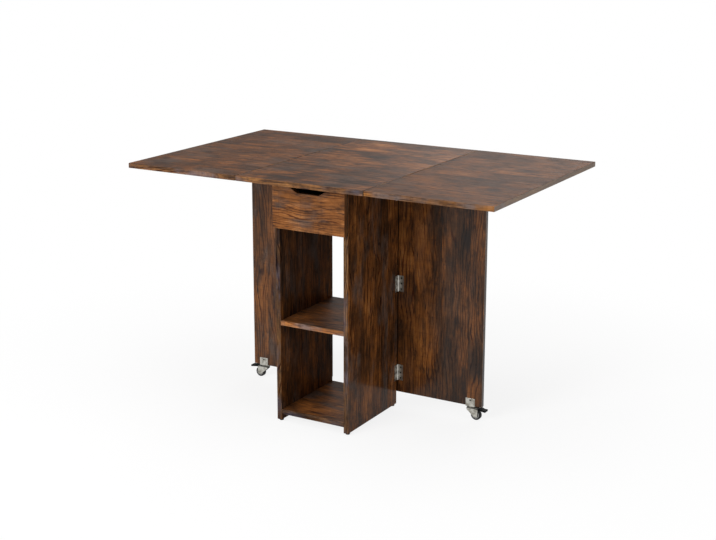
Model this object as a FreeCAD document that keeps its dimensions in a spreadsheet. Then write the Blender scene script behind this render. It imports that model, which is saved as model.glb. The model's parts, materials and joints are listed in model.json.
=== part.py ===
import FreeCAD, Part
import Sketcher
import os
import re

# Folding dining table: a centre panel on a narrow cabinet, two drop leaves, and two gates on
# castors that swing out under the leaves. Millimetres, +Z up, the drawer faces -Y, and the
# origin is on the floor under the middle of the table top.

SIZES = {
    # table top
    "table_length": 1200,
    "table_width": 730,
    "table_height": 750,
    "board_thickness": 15,
    "board_edge_round": 1,
    "centre_panel_length": 420,
    "seam_gap": 2,
    # cabinet, which stands in front of the middle of the table
    "cabinet_width": 245,
    "front_overhang": 70,
    "bottom_shelf_height": 23,
    "middle_shelf_height": 300,
    "shelf_setback": 1,
    "back_rail_height": 80,
    "glide_height": 5,
    "glide_radius": 6.5,
    "glide_bevel": 1,
    "glide_inset": 12,
    "nail_radius": 1,
    "nail_length": 12,
    # dowels and cam fixings
    "dowel_radius": 4,
    "dowel_shelf_depth": 20,
    "dowel_side_depth": 10,
    "cam_distance": 24,
    "cam_radius": 7.4,
    "cam_thickness": 12,
    "cam_bolt_radius": 3,
    "cam_bolt_past_cam": 4,
    "cam_bolt_play": 0.5,
    "cam_thread_radius": 2.5,
    "cam_thread_length": 10,
    "hole_fit": 0.05,
    "hole_end_room": 0.5,
    "overrun": 5,
    # drawer
    "drawer_front_height": 136,
    "drawer_front_reveal": 2,
    "drawer_front_top_gap": 2,
    "drawer_front_gap": 1,
    "notch_floor_width": 72,
    "notch_top_width": 156,
    "notch_depth": 26,
    "drawer_board_thickness": 12,
    "drawer_edge_round": 0.5,
    "drawer_box_lift": 15,
    "drawer_box_height": 90,
    "drawer_back_clearance": 19,
    "drawer_bottom_thickness": 5,
    "drawer_bottom_lift": 8,
    "groove_depth": 5,
    "groove_fit": 0.2,
    "drawer_dowel_radius": 3,
    "drawer_dowel_front_depth": 9,
    "drawer_dowel_side_depth": 16,
    "drawer_screw_radius": 1.6,
    "drawer_screw_head_radius": 3.2,
    "drawer_screw_head_height": 2.5,
    "drawer_screw_length": 35,
    # drawer runners
    "runner_space": 12.5,
    "runner_height": 35,
    "runner_wall": 1.2,
    "cabinet_runner_flange": 9,
    "drawer_runner_flange": 10,
    "runner_setback": 5,
    "runner_end_setback": 6,
    "runner_clearance": 0.3,
    # butt hinges of the gates and of the leaves
    "hinge_length": 50,
    "hinge_leaf_width": 19,
    "hinge_plate": 1.2,
    "hinge_knuckle_radius": 2.8,
    "hinge_pin_radius": 1.4,
    "hinge_pin_fit": 0.08,
    "hinge_pin_offset": 0.4,
    "hinge_end_gap": 0.2,
    "hinge_relief": 0.3,
    "hinge_screw_reach": 11,
    "hinge_screw_spacing": 17,
    "screw_radius": 1.4,
    "screw_head_radius": 2.9,
    "screw_head_height": 1.1,
    "screw_length": 12,
    "screw_recess_length": 3.2,
    "screw_recess_width": 0.8,
    "screw_recess_depth": 0.7,
    # gates
    "gate_width": 290,
    "gate_pin_setback": 5,
    "gate_fold_clearance": 0.4,
    "gate_top_clearance": 0.3,
    "low_hinge_height": 106,
    "middle_hinge_height": 389,
    "high_hinge_drop": 63,
    "leaf_hinge_end_inset": 47,
    "leaf_hinge_middle_offset": 60,
    # castors
    "castor_height": 41,
    "castor_inset": 37,
    "castor_trail": 17,
    "bracket_plate": 2,
    "bracket_width": 30,
    "bracket_flange_height": 24,
    "bracket_edge_round": 0.5,
    "bracket_screw_drop": 6,
    "bracket_screw_spread": 9,
    "race_radius": 13,
    "race_height": 3,
    "swivel_clearance": 0.3,
    "king_pin_radius": 3,
    "king_pin_head_radius": 5,
    "king_pin_head_height": 1.5,
    "running_fit": 0.08,
    "wheel_radius": 16,
    "tyre_width": 13,
    "tyre_round": 2,
    "hub_radius": 11,
    "hub_rim": 2,
    "hub_boss_radius": 5,
    "hub_boss_stand": 0.4,
    "hub_dish": 2,
    "axle_radius": 2,
    "axle_head_radius": 3.5,
    "axle_head_height": 1.2,
    "fork_plate": 1.6,
    "fork_edge_round": 0.6,
    "fork_wheel_clearance": 1,
    "fork_back": 12,
    "fork_front": 24,
    "fork_bridge_front": 13,
    "cheek_back_drop": 7,
    "cheek_front_drop": 8,
    "cheek_foot_back": 5,
    "cheek_foot_front": 6,
    "cheek_foot_drop": 6,
    # brake pedals
    "brake_pin_reach": 21,
    "brake_pin_drop": 3.5,
    "brake_pin_radius": 1.2,
    "brake_hub_radius": 2.2,
    "brake_side_clearance": 0.3,
    "pedal_rise": 2,
    "pedal_slope": 0.8,
    "pedal_arm_reach": 7,
    "pedal_arm_drop": 2.2,
    "shoe_reach": 3,
    "shoe_drop": 2.5,
    "pedal_pad_start": 5,
    "pedal_pad_rise": 3.2,
    "pedal_pad_drop": 1,
    "pedal_hump_reach": 10,
    "pedal_hump_rise": 5.6,
    "pedal_waist_reach": 18,
    "pedal_waist_rise": 1.8,
    "pedal_tip_reach": 29,
    "pedal_tip_rise": 1.2,
    "pedal_tip_thickness": 5.6,
    "pedal_width": 20,
}

# Places that follow from the sizes
PLACES = {
    "top_underside": "table_height - board_thickness",
    "centre_half": "centre_panel_length / 2",
    "seam": "centre_half + seam_gap / 2",
    "leaf_inner": "centre_half + seam_gap",
    "leaf_length": "table_length / 2 - leaf_inner",
    "cabinet_depth": "table_width / 2 - front_overhang",
    "cabinet_half": "cabinet_width / 2",
    "cabinet_inner": "cabinet_half - board_thickness",
    "side_middle": "cabinet_half - board_thickness / 2",
    "back_rail_bottom": "top_underside - back_rail_height",
    # drawer
    "drawer_front_back": "-cabinet_depth - drawer_front_gap",
    "drawer_front_top": "top_underside - drawer_front_top_gap",
    "drawer_front_bottom": "drawer_front_top - drawer_front_height",
    "drawer_front_half": "cabinet_half - drawer_front_reveal",
    "drawer_half": "cabinet_inner - runner_space",
    "drawer_inner": "drawer_half - drawer_board_thickness",
    "drawer_box_bottom": "drawer_front_bottom + drawer_box_lift",
    "drawer_box_back": "-board_thickness - drawer_back_clearance",
    "drawer_box_depth": "drawer_box_back - drawer_front_back",
    "drawer_back_front": "drawer_box_back - drawer_board_thickness",
    "drawer_bottom_height": "drawer_box_bottom + drawer_bottom_lift",
    "groove_bottom": "drawer_bottom_height - groove_fit / 2",
    "groove_height": "drawer_bottom_thickness + groove_fit",
    "bottom_tongue": "groove_depth - groove_fit",
    # runners
    "runner_middle": "drawer_box_bottom + drawer_box_height / 2",
    "runner_front": "-cabinet_depth + runner_setback",
    "runner_back": "drawer_box_back - runner_end_setback",
    "runner_length": "runner_back - runner_front",
    "cabinet_runner_half": "runner_height / 2",
    "drawer_runner_half": "cabinet_runner_half - runner_wall - runner_clearance",
    # hinges
    "hinge_plate_face": "hinge_pin_offset - hinge_plate",
    "gate_pin_x": "cabinet_half + hinge_pin_offset",
    "high_hinge_height": "top_underside - high_hinge_drop",
    "leaf_pin_height": "top_underside - hinge_pin_offset",
    # gates
    "gate_inner": "gate_pin_x - gate_pin_setback + gate_fold_clearance",
    "gate_front": "gate_pin_setback + hinge_pin_offset",
    "gate_back": "gate_front + board_thickness",
    "gate_bottom": "castor_height + bracket_plate",
    "gate_height": "top_underside - gate_top_clearance - gate_bottom",
    # castors
    "castor_x": "gate_inner + gate_width - castor_inset",
    "castor_y": "gate_front + board_thickness / 2",
    "bracket_screw_height": "gate_bottom + bracket_flange_height - bracket_screw_drop",
    "fork_top": "castor_height - race_height - swivel_clearance",
    "fork_underside": "fork_top - fork_plate",
    "fork_gap": "tyre_width + 2 * fork_wheel_clearance",
    "fork_width": "fork_gap + 2 * fork_plate",
    "king_pin_foot": "fork_underside - swivel_clearance - king_pin_head_height",
    "axle_end": "fork_width / 2 + axle_head_height",
    "tyre_half": "tyre_width / 2",
    "brake_x": "castor_x + brake_pin_reach",
    "brake_height": "fork_top - brake_pin_drop",
    "brake_arm_width": "fork_gap - 2 * brake_side_clearance",
}

# Where fixings sit along the boards that they join
DOWEL_DEPTH_SHARES = (0.35, 0.65)
CAM_DEPTH_SHARES = (0.15, 0.85)
RAIL_DOWEL_SHARES = (0.3, 0.7)
DRAWER_FIXING_SHARES = (0.22, 0.87)
RUNNER_SCREW_SHARES = (0.15, 0.85)

KNUCKLES = 5
GATE_HINGE_HEIGHTS = ("low_hinge_height", "middle_hinge_height", "high_hinge_height")
LEAF_HINGE_PLACES = (
    "-table_width / 2 + leaf_hinge_end_inset",
    "-leaf_hinge_middle_offset",
    "table_width / 2 - leaf_hinge_end_inset",
)

doc = FreeCAD.newDocument("FoldingTable")
sheet = doc.addObject("Spreadsheet::Sheet", "Sizes")
for row, (size_name, size_value) in enumerate(SIZES.items(), start=1):
    sheet.set(f"A{row}", size_name)
    sheet.set(f"B{row}", str(size_value))
    sheet.setAlias(f"B{row}", size_name)
doc.recompute()

nodes = []


def bound(text):
    """Spell out the named places in an expression and point its sizes at the sheet."""

    def spell(match):
        word = match.group(0)
        if word in PLACES:
            return f"({bound(PLACES[word])})"
        return f"Sizes.{word}"

    return re.sub(r"[a-z_]+", spell, text)


def turn(x_to, y_to):
    """The rotation that takes the local X and Y axes to two directions."""
    x_axis = FreeCAD.Vector(*x_to)
    y_axis = FreeCAD.Vector(*y_to)
    return FreeCAD.Rotation(x_axis, y_axis, x_axis.cross(y_axis), "XYZ")


AS_DRAWN = turn((1, 0, 0), (0, 1, 0))
UPRIGHT = turn((1, 0, 0), (0, 0, 1))
FACING_LEFT = turn((-1, 0, 0), (0, -1, 0))
LYING_ALONG_X = turn((0, 0, -1), (0, 1, 0))
LYING_ALONG_Y = turn((1, 0, 0), (0, 0, -1))
SECTION_ALONG_X = turn((0, 1, 0), (0, 0, 1))
DRIVEN_RIGHT = turn((0, 0, 1), (1, 0, 0))
DRIVEN_LEFT = turn((0, 0, 1), (-1, 0, 0))
DRIVEN_FORWARD = turn((-1, 0, 0), (0, -1, 0))


def place(piece, at, rotation=AS_DRAWN):
    piece.Placement = FreeCAD.Placement(FreeCAD.Vector(0, 0, 0), rotation)
    for axis, text in zip("xyz", at):
        piece.setExpression(f"Placement.Base.{axis}", bound(text))
    return piece


def primitive(kind, name, sizes, at, rotation=AS_DRAWN):
    piece = doc.addObject(kind, name)
    for size, text in sizes.items():
        piece.setExpression(size, bound(text))
    return place(piece, at, rotation)


def box(name, size, at):
    return primitive("Part::Box", name, dict(zip(("Length", "Width", "Height"), size)), at)


def rod(name, radius, length, at, rotation=AS_DRAWN):
    return primitive("Part::Cylinder", name, {"Radius": radius, "Height": length}, at, rotation)


def fuse(name, pieces):
    piece = doc.addObject("Part::MultiFuse", name)
    piece.Shapes = pieces
    return piece


def cut(name, base, tool):
    piece = doc.addObject("Part::Cut", name)
    piece.Base = base
    piece.Tool = tool
    return piece


def group(name, pieces):
    piece = doc.addObject("Part::Compound", name)
    piece.Links = pieces
    return piece


def copy(name, source, at, rotation=AS_DRAWN):
    piece = doc.addObject("App::Link", name)
    piece.LinkedObject = source
    piece.LinkTransform = True
    return place(piece, at, rotation)


def mirror(name, source):
    """The same piece on the left of the table."""
    piece = doc.addObject("Part::Mirroring", name)
    piece.Source = source
    piece.Normal = FreeCAD.Vector(1, 0, 0)
    return piece


def both_sides(name, right_pieces):
    right = group(f"{name}_right", right_pieces)
    return group(name, [right, mirror(f"{name}_left", right)])


def node(piece):
    """Marks a finished piece, whose label names it."""
    nodes.append(piece)
    return piece


def sketch_outline(body, name, points):
    """A closed outline on the body's XY plane, with every corner bound to the sheet."""
    sketch = body.newObject("Sketcher::SketchObject", f"{name}_outline")
    plane = next(part for part in body.Origin.OriginFeatures if part.Role == "XY_Plane")
    sketch.AttachmentSupport = [(plane, "")]
    sketch.MapMode = "FlatFace"
    probe = doc.addObject("Part::Vertex", f"{name}_probe")
    corners = []
    for across, up in points:
        probe.setExpression("X", bound(across))
        probe.setExpression("Y", bound(up))
        probe.recompute()
        corners.append(FreeCAD.Vector(probe.X.Value, probe.Y.Value, 0))
    doc.removeObject(probe.Name)
    count = len(points)
    for index in range(count):
        sketch.addGeometry(Part.LineSegment(corners[index], corners[(index + 1) % count]))
    for index in range(count):
        sketch.addConstraint(Sketcher.Constraint("Coincident", index, 2, (index + 1) % count, 1))
    for index, (across, up) in enumerate(points):
        corner = corners[index]
        for kind, text, value in (("DistanceX", across, corner.x), ("DistanceY", up, corner.y)):
            limit = sketch.addConstraint(Sketcher.Constraint(kind, -1, 1, index, 1, value))
            sketch.setExpression(f"Constraints[{limit}]", bound(text))
    return sketch


def padded(name, points, depth, at, rotation=AS_DRAWN, edge_round=None):
    """An outline padded to a depth, with its edges eased where a radius is given."""
    body = doc.addObject("PartDesign::Body", name)
    sketch = sketch_outline(body, name, points)
    pad = body.newObject("PartDesign::Pad", f"{name}_pad")
    pad.Profile = sketch
    pad.setExpression("Length", bound(depth))
    if edge_round:
        doc.recompute()
        easing = body.newObject("PartDesign::Fillet", f"{name}_easing")
        easing.Base = (pad, [""])
        easing.UseAllEdges = True
        easing.setExpression("Radius", bound(edge_round))
    return place(body, at, rotation)


def turned(name, points, at, rotation=AS_DRAWN):
    """An outline of radius and height, turned about the local Y axis."""
    body = doc.addObject("PartDesign::Body", name)
    sketch = sketch_outline(body, name, points)
    spin = body.newObject("PartDesign::Revolution", f"{name}_spin")
    spin.Profile = sketch
    spin.ReferenceAxis = (sketch, ["V_Axis"])
    return place(body, at, rotation)


def board(name, size, at, edge_round="board_edge_round"):
    length, width, thickness = size
    corners = [("0", "0"), (length, "0"), (length, width), ("0", width)]
    return padded(name, corners, thickness, at, edge_round=edge_round)


def screw(name, radius, head_radius, head_height, length):
    """A countersunk screw driven along +Y from its head at the origin, with a cross recess."""
    blank = turned(f"{name}_blank", [
        ("0", "0"),
        (head_radius, "0"),
        (radius, head_height),
        (radius, f"{length} - {radius}"),
        ("0", length),
    ], ("0", "0", "0"))
    recess = fuse(f"{name}_recess", [
        box(f"{name}_slot", ("screw_recess_length", "screw_recess_depth", "screw_recess_width"),
            ("-screw_recess_length / 2", "0", "-screw_recess_width / 2")),
        box(f"{name}_cross_slot", ("screw_recess_width", "screw_recess_depth", "screw_recess_length"),
            ("-screw_recess_width / 2", "0", "-screw_recess_length / 2")),
    ])
    return cut(name, blank, recess)


def screw_hole(name, radius, head_radius, head_height, length):
    """The countersunk hole of such a screw, open above the head."""
    return turned(name, [
        ("0", "-overrun"),
        (f"{head_radius} + hole_fit", "-overrun"),
        (f"{head_radius} + hole_fit", "0"),
        (f"{radius} + hole_fit", head_height),
        (f"{radius} + hole_fit", f"{length} + hole_end_room"),
        ("0", f"{length} + hole_end_room"),
    ], ("0", "0", "0"))


SCREW = ("screw_radius", "screw_head_radius", "screw_head_height", "screw_length")
DRAWER_SCREW = ("drawer_screw_radius", "drawer_screw_head_radius", "drawer_screw_head_height",
                "drawer_screw_length")
small_screw = screw("small_screw", *SCREW)
small_screw_hole = screw_hole("small_screw_hole", *SCREW)
long_screw = screw("long_screw", *DRAWER_SCREW)
long_screw_hole = screw_hole("long_screw_hole", *DRAWER_SCREW)

# Hinge patterns: the pin runs along Z, the board lies on +Y and the leaf reaches along +X


def knuckle_end(index):
    return f"hinge_length * {index} / {KNUCKLES} - hinge_length / 2"


def hinge_leaf(name, own_knuckles):
    plate = box(f"{name}_plate", ("hinge_leaf_width", "hinge_plate", "hinge_length"),
                ("0", "hinge_plate_face", "-hinge_length / 2"))
    solid = [plate]
    removed = [rod(f"{name}_bore", "hinge_pin_radius + hinge_pin_fit", "hinge_length + 2 * overrun",
                   ("0", "0", "-hinge_length / 2 - overrun"))]
    for index in range(KNUCKLES):
        if index in own_knuckles:
            solid.append(rod(f"{name}_knuckle_{index}", "hinge_knuckle_radius",
                             f"hinge_length / {KNUCKLES} - hinge_end_gap",
                             ("0", "0", f"{knuckle_end(index)} + hinge_end_gap / 2")))
        else:
            removed.append(box(f"{name}_relief_{index}",
                               ("overrun + hinge_knuckle_radius + hinge_relief",
                                "2 * overrun", f"hinge_length / {KNUCKLES}"),
                               ("-overrun", "-overrun", knuckle_end(index))))
    removed += three_along_hinge(f"{name}_screw_hole", small_screw_hole)
    return cut(name, fuse(f"{name}_rolled", solid), fuse(f"{name}_openings", removed))


def three_along_hinge(name, source):
    return [copy(f"{name}_{step}", source,
                 ("hinge_screw_reach", "hinge_plate_face", f"hinge_screw_spacing * {step - 1}"))
            for step in range(3)]


outer_hinge_leaf = hinge_leaf("outer_hinge_leaf", (0, 2, 4))
inner_hinge_leaf = hinge_leaf("inner_hinge_leaf", (1, 3))
hinge_pin = rod("hinge_pin", "hinge_pin_radius", "hinge_length", ("0", "0", "-hinge_length / 2"))
hinge_screws = group("hinge_screws", three_along_hinge("hinge_screw", small_screw))
hinge_recess = rod("hinge_recess", "hinge_knuckle_radius + hinge_relief",
                   "hinge_length + 2 * hinge_relief", ("0", "0", "-hinge_length / 2 - hinge_relief"))
hinge_holes = group("hinge_holes", three_along_hinge("hinge_hole", small_screw_hole) + [hinge_recess])

GATE_PINS = [("gate_pin_x", "gate_pin_setback", height) for height in GATE_HINGE_HEIGHTS]
LEAF_PINS = [("seam", along, "leaf_pin_height") for along in LEAF_HINGE_PLACES]
ON_CABINET_SIDE = turn((0, -1, 0), (-1, 0, 0))
ON_GATE = AS_DRAWN
UNDER_CENTRE = turn((-1, 0, 0), (0, 0, 1))
UNDER_LEAF = turn((1, 0, 0), (0, 0, 1))


def at_each(name, source, places, rotation):
    return [copy(f"{name}_{index}", source, at, rotation)
            for index, at in enumerate(places, start=1)]


def hinge_set(name, source, places, rotation):
    return group(name, at_each(f"{name}_at", source, places, rotation))


right_gate_hinge_cabinet_leaves = node(hinge_set(
    "right_gate_hinge_cabinet_leaves", outer_hinge_leaf, GATE_PINS, ON_CABINET_SIDE))
node(mirror(
    "left_gate_hinge_cabinet_leaves", right_gate_hinge_cabinet_leaves))
right_gate_hinge_leaves = node(hinge_set(
    "right_gate_hinge_leaves", inner_hinge_leaf, GATE_PINS, ON_GATE))
node(mirror("left_gate_hinge_leaves", right_gate_hinge_leaves))
node(both_sides(
    "gate_hinge_pins", at_each("gate_hinge_pin", hinge_pin, GATE_PINS, ON_GATE)))
node(both_sides(
    "gate_hinge_cabinet_screws", at_each("gate_side_screws", hinge_screws, GATE_PINS, ON_CABINET_SIDE)))
right_gate_hinge_screws = node(hinge_set(
    "right_gate_hinge_screws", hinge_screws, GATE_PINS, ON_GATE))
node(mirror("left_gate_hinge_screws", right_gate_hinge_screws))

right_leaf_hinge_centre_plates = node(hinge_set(
    "right_leaf_hinge_centre_plates", outer_hinge_leaf, LEAF_PINS, UNDER_CENTRE))
node(mirror(
    "left_leaf_hinge_centre_plates", right_leaf_hinge_centre_plates))
right_leaf_hinge_plates = node(hinge_set(
    "right_leaf_hinge_plates", inner_hinge_leaf, LEAF_PINS, UNDER_LEAF))
node(mirror("left_leaf_hinge_plates", right_leaf_hinge_plates))
node(both_sides(
    "leaf_hinge_pins", at_each("leaf_hinge_pin", hinge_pin, LEAF_PINS, UNDER_LEAF)))
node(both_sides(
    "leaf_hinge_centre_screws", at_each("leaf_centre_screws", hinge_screws, LEAF_PINS, UNDER_CENTRE)))
right_leaf_hinge_screws = node(hinge_set(
    "right_leaf_hinge_screws", hinge_screws, LEAF_PINS, UNDER_LEAF))
node(mirror("left_leaf_hinge_screws", right_leaf_hinge_screws))

# Dowels and cam fixings: the joint lies at local X = 0 and the shelf or the cam on its -X side


def axial(name, radius, start, length):
    return rod(name, radius, length, (start, "0", "0"), LYING_ALONG_X)


dowel = axial("dowel", "dowel_radius", "-dowel_shelf_depth", "dowel_shelf_depth + dowel_side_depth")
dowel_hole = axial("dowel_hole", "dowel_radius + hole_fit", "-dowel_shelf_depth - hole_end_room",
                   "dowel_shelf_depth + dowel_side_depth + 2 * hole_end_room")
cam_bolt = fuse("cam_bolt", [
    axial("cam_bolt_thread", "cam_thread_radius", "0", "cam_thread_length"),
    axial("cam_bolt_shank", "cam_bolt_radius", "-cam_distance - cam_bolt_past_cam",
          "cam_distance + cam_bolt_past_cam"),
])
cam_bolt_bore = axial("cam_bolt_bore", "cam_bolt_radius + cam_bolt_play",
                      "-cam_distance - cam_bolt_past_cam - hole_end_room",
                      "cam_distance + cam_bolt_past_cam + hole_end_room")
cam_disc = cut("cam_disc",
               rod("cam_disc_blank", "cam_radius", "cam_thickness",
                   ("-cam_distance", "0", "-board_thickness / 2")),
               cam_bolt_bore)
cam_holes = fuse("cam_holes", [
    cam_bolt_bore,
    axial("cam_thread_hole", "cam_thread_radius + hole_fit", "0", "cam_thread_length + hole_end_room"),
    rod("cam_disc_hole", "cam_radius + hole_fit", "overrun + cam_thickness + hole_fit",
        ("-cam_distance", "0", "-board_thickness / 2 - overrun")),
])

dowel_places = []
cam_places = []
for shelf_height in ("bottom_shelf_height", "middle_shelf_height"):
    shelf_middle = f"{shelf_height} + board_thickness / 2"
    for joint, rotation in (("cabinet_inner", AS_DRAWN), ("-cabinet_inner", FACING_LEFT)):
        dowel_places += [((joint, f"-cabinet_depth * {share}", shelf_middle), rotation)
                         for share in DOWEL_DEPTH_SHARES]
        cam_places += [((joint, f"-cabinet_depth * {share}", shelf_middle), rotation)
                       for share in CAM_DEPTH_SHARES]
for side, rotation in (("side_middle", turn((0, 0, 1), (0, -1, 0))),
                       ("-side_middle", turn((0, 0, 1), (0, 1, 0)))):
    dowel_places += [((side, f"-cabinet_depth * {share}", "top_underside"), rotation)
                     for share in DOWEL_DEPTH_SHARES]
    cam_places += [((side, f"-cabinet_depth * {share}", "top_underside"), rotation)
                   for share in CAM_DEPTH_SHARES]
for joint, rotation in (("cabinet_inner", AS_DRAWN), ("-cabinet_inner", FACING_LEFT)):
    dowel_places += [((joint, "-board_thickness / 2", f"back_rail_bottom + back_rail_height * {share}"),
                      rotation) for share in RAIL_DOWEL_SHARES]


def copies(name, source, places):
    return [copy(f"{name}_{index}", source, at, rotation)
            for index, (at, rotation) in enumerate(places, start=1)]


node(group("wood_dowels", copies("dowel_at", dowel, dowel_places)))
node(group("cam_bolts", copies("cam_bolt_at", cam_bolt, cam_places)))
node(group("cam_discs", copies("cam_disc_at", cam_disc, cam_places)))
fixing_holes = group("fixing_holes", (copies("dowel_hole_at", dowel_hole, dowel_places)
                                      + copies("cam_holes_at", cam_holes, cam_places)))

# Glides nailed under the cabinet sides

glide = turned("glide", [
    ("0", "0"),
    ("glide_radius - glide_bevel", "0"),
    ("glide_radius", "glide_bevel"),
    ("glide_radius", "glide_height"),
    ("nail_radius", "glide_height"),
    ("nail_radius", "glide_height + nail_length"),
    ("0", "glide_height + nail_length"),
], ("0", "0", "0"))
nail_hole = rod("nail_hole", "nail_radius + hole_fit", "nail_length + hole_end_room",
                ("0", "0", "glide_height"))
GLIDE_PLACES = [(("side_middle", along, "0"), UPRIGHT)
                for along in ("-glide_inset", "-cabinet_depth + glide_inset")]
node(both_sides("foot_glides", copies("glide_at", glide, GLIDE_PLACES)))
nail_holes = copies("nail_hole_at", nail_hole, [(at, AS_DRAWN) for at, _ in GLIDE_PLACES])

# Drawer runners: one channel on the cabinet side and one inside it on the drawer


def channel(name, back, open_to, flange, half_height):
    """A lipless channel along Y whose web stands at one X and whose flanges reach to another."""
    top = f"runner_middle + {half_height}"
    bottom = f"runner_middle - {half_height}"
    inside = f"{back} {open_to} runner_wall"
    tip = f"{back} {open_to} {flange}"
    return padded(name, [
        (back, bottom),
        (back, top),
        (tip, top),
        (tip, f"{top} - runner_wall"),
        (inside, f"{top} - runner_wall"),
        (inside, f"{bottom} + runner_wall"),
        (tip, f"{bottom} + runner_wall"),
        (tip, bottom),
    ], "runner_length", ("0", "runner_back", "0"), UPRIGHT)


def runner_screw_places(head, rotation):
    return [((head, f"runner_front + runner_length * {share}", "runner_middle"), rotation)
            for share in RUNNER_SCREW_SHARES]


CABINET_RUNNER_SCREWS = runner_screw_places("cabinet_inner - runner_wall", DRIVEN_RIGHT)
DRAWER_RUNNER_SCREWS = runner_screw_places("drawer_half + runner_wall", DRIVEN_LEFT)
cabinet_runner_holes = group("cabinet_runner_holes", copies(
    "cabinet_runner_hole", small_screw_hole, CABINET_RUNNER_SCREWS))
drawer_runner_holes = group("drawer_runner_holes", copies(
    "drawer_runner_hole", small_screw_hole, DRAWER_RUNNER_SCREWS))
right_cabinet_runner = node(cut(
    "right_cabinet_runner",
    channel("cabinet_channel", "cabinet_inner", "-", "cabinet_runner_flange", "cabinet_runner_half"),
    cabinet_runner_holes))
node(mirror("left_cabinet_runner", right_cabinet_runner))
right_drawer_runner = node(cut(
    "right_drawer_runner",
    channel("drawer_channel", "drawer_half", "+", "drawer_runner_flange", "drawer_runner_half"),
    drawer_runner_holes))
node(mirror("left_drawer_runner", right_drawer_runner))
node(both_sides("cabinet_runner_screws", copies(
    "cabinet_runner_screw", small_screw, CABINET_RUNNER_SCREWS)))
node(both_sides("drawer_runner_screws", copies(
    "drawer_runner_screw", small_screw, DRAWER_RUNNER_SCREWS)))

# Cabinet boards and the centre panel

gate_side_holes = hinge_set("gate_side_holes", hinge_holes, GATE_PINS, ON_CABINET_SIDE)
side_holes = fuse("side_holes", [gate_side_holes, cabinet_runner_holes] + nail_holes)
right_side_board = cut(
    "right_side_board",
    board("right_side_blank", ("board_thickness", "cabinet_depth", "top_underside - glide_height"),
          ("cabinet_inner", "-cabinet_depth", "glide_height")),
    side_holes)
node(cut("cabinet_right_side", right_side_board, fixing_holes))
node(cut(
    "cabinet_left_side", mirror("left_side_board", right_side_board), fixing_holes))


def shelf(name, height):
    blank = board(f"{name}_blank", ("2 * cabinet_inner", "cabinet_depth - shelf_setback", "board_thickness"),
                  ("-cabinet_inner", "-cabinet_depth + shelf_setback", height))
    return node(cut(name, blank, fixing_holes))


shelf("middle_shelf", "middle_shelf_height")
shelf("bottom_shelf", "bottom_shelf_height")
node(cut(
    "back_rail",
    board("back_rail_blank", ("2 * cabinet_inner", "board_thickness", "back_rail_height"),
          ("-cabinet_inner", "-board_thickness", "back_rail_bottom")),
    fixing_holes))
centre_hinge_holes = both_sides("centre_hinge_holes", at_each(
    "centre_hinge_hole", hinge_holes, LEAF_PINS, UNDER_CENTRE))
node(cut(
    "top_centre_panel",
    cut("centre_drilled",
        board("centre_blank", ("centre_panel_length", "table_width", "board_thickness"),
              ("-centre_half", "-table_width / 2", "top_underside")),
        centre_hinge_holes),
    fixing_holes))

# Leaves

right_leaf_panel = node(cut(
    "right_leaf_panel",
    board("right_leaf_blank", ("leaf_length", "table_width", "board_thickness"),
          ("leaf_inner", "-table_width / 2", "top_underside")),
    hinge_set("leaf_hinge_holes", hinge_holes, LEAF_PINS, UNDER_LEAF)))
node(mirror("left_leaf_panel", right_leaf_panel))

# Drawer

DRAWER_FIXING_HEIGHTS = [f"drawer_box_bottom + drawer_box_height * {share}"
                         for share in DRAWER_FIXING_SHARES]
drawer_side_centre = "drawer_half - drawer_board_thickness / 2"
drawer_back_centre = "drawer_box_back - drawer_board_thickness / 2"
drawer_dowel = rod("drawer_dowel", "drawer_dowel_radius",
                   "drawer_dowel_front_depth + drawer_dowel_side_depth",
                   ("0", "-drawer_dowel_front_depth", "0"), LYING_ALONG_Y)
drawer_dowel_hole = rod("drawer_dowel_hole", "drawer_dowel_radius + hole_fit",
                        "drawer_dowel_front_depth + drawer_dowel_side_depth + 2 * hole_end_room",
                        ("0", "-drawer_dowel_front_depth - hole_end_room", "0"), LYING_ALONG_Y)
DRAWER_DOWEL_PLACES = [((drawer_side_centre, "drawer_front_back", height), AS_DRAWN)
                       for height in DRAWER_FIXING_HEIGHTS]
DRAWER_SCREW_PLACES = [(("drawer_half", drawer_back_centre, height), DRIVEN_LEFT)
                       for height in DRAWER_FIXING_HEIGHTS]
node(both_sides("drawer_dowels", copies(
    "drawer_dowel_at", drawer_dowel, DRAWER_DOWEL_PLACES)))
node(both_sides("drawer_back_screws", copies(
    "drawer_back_screw", long_screw, DRAWER_SCREW_PLACES)))
drawer_joint_holes = both_sides("drawer_joint_holes", (
    copies("drawer_dowel_hole_at", drawer_dowel_hole, DRAWER_DOWEL_PLACES)
    + copies("drawer_screw_hole_at", long_screw_hole, DRAWER_SCREW_PLACES)))
bottom_groove = box("bottom_groove", ("2 * drawer_inner + 2 * groove_depth",
                                      "drawer_box_depth + groove_depth + overrun", "groove_height"),
                    ("-drawer_inner - groove_depth", "drawer_front_back - groove_depth", "groove_bottom"))
back_groove = box("back_groove", ("2 * drawer_inner", "groove_depth + overrun", "groove_height"),
                  ("-drawer_inner", "drawer_back_front - overrun", "groove_bottom"))
node(cut(
    "drawer_front",
    padded("drawer_front_blank", [
        ("-drawer_front_half", "drawer_front_bottom"),
        ("drawer_front_half", "drawer_front_bottom"),
        ("drawer_front_half", "drawer_front_top"),
        ("notch_top_width / 2", "drawer_front_top"),
        ("notch_floor_width / 2", "drawer_front_top - notch_depth"),
        ("-notch_floor_width / 2", "drawer_front_top - notch_depth"),
        ("-notch_top_width / 2", "drawer_front_top"),
        ("-drawer_front_half", "drawer_front_top"),
    ], "board_thickness", ("0", "drawer_front_back", "0"), UPRIGHT, "board_edge_round"),
    fuse("drawer_front_openings", [drawer_joint_holes, bottom_groove])))
right_drawer_openings = fuse("right_drawer_openings", [
    drawer_joint_holes, bottom_groove, drawer_runner_holes])
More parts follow.
